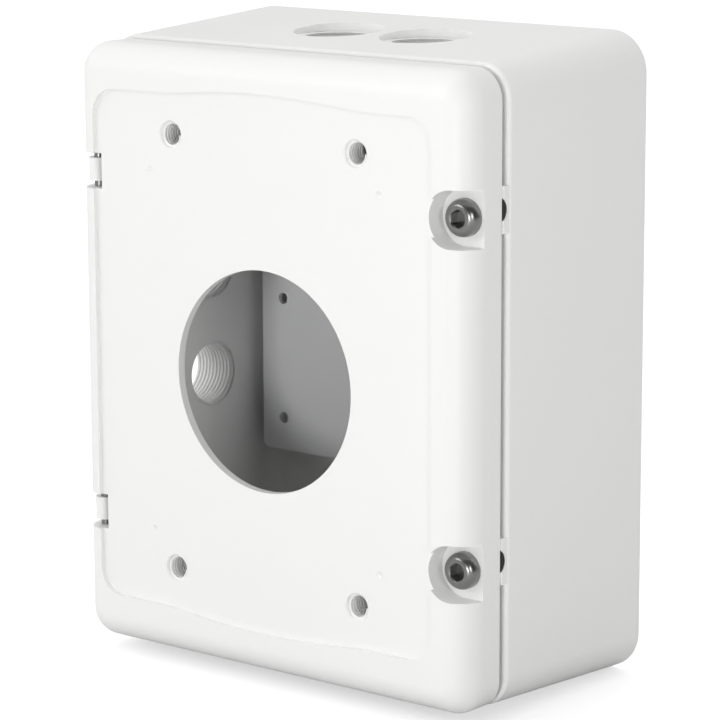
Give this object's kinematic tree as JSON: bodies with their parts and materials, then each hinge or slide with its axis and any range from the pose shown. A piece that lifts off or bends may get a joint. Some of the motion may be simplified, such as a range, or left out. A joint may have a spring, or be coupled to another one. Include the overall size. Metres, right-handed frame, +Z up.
{
  "type": "camera junction box",
  "caption": "Cast surface-mount junction box with a hinged cover that carries a camera bracket, a round cable opening, captive screws and threaded conduit entries.",
  "frame": {"origin": "centre of the wall face", "axes": "+X right, +Y back into the wall, +Z up, seen from the front"},
  "size_m": [0.2004, 0.1074, 0.251],
  "materials": {
    "box_paint": "white polyester powder coat, fine satin texture",
    "cover_paint": "white polyester powder coat, fine satin texture",
    "gasket": "closed-cell silicone, dull",
    "stainless": "A2 stainless steel, turned and washed",
    "pin_steel": "ground stainless steel",
    "ring_steel": "phosphated spring steel",
    "plate": "light grey powder coat on sheet steel",
    "brass": "bright drawn brass"
  },
  "bodies": {
    "box": {"back_box": "box_paint", "cover_gasket": "gasket", "thread_insert_upper": "stainless", "thread_insert_lower": "stainless", "equipment_plate": "plate", "plate_screw_1": "stainless", "plate_screw_2": "stainless", "plate_screw_3": "stainless", "plate_screw_4": "stainless", "plate_washers": "stainless", "earth_screw": "brass", "earth_clamp": "stainless", "earth_washer": "stainless"},
    "cover": {"cover": "cover_paint", "hinge_pin_upper": "pin_steel", "hinge_pin_lower": "pin_steel"},
    "screw_upper": {"cover_screw_upper": "stainless", "retaining_ring_upper": "ring_steel"},
    "screw_lower": {"cover_screw_lower": "stainless", "retaining_ring_lower": "ring_steel"}
  },
  "joints": [
    {"name": "cover_hinge", "type": "hinge", "parent": "box", "child": "cover", "pos_m": [-0.0905, -0.0996, 0], "axis": [0, 0, -1], "range_deg": [0, 120]},
    {"name": "screw_out_upper", "type": "slide", "parent": "cover", "child": "screw_upper", "axis": [0, -1, 0], "range_m": [0, 0.008]},
    {"name": "screw_out_lower", "type": "slide", "parent": "cover", "child": "screw_lower", "axis": [0, -1, 0], "range_m": [0, 0.008]}
  ]
}
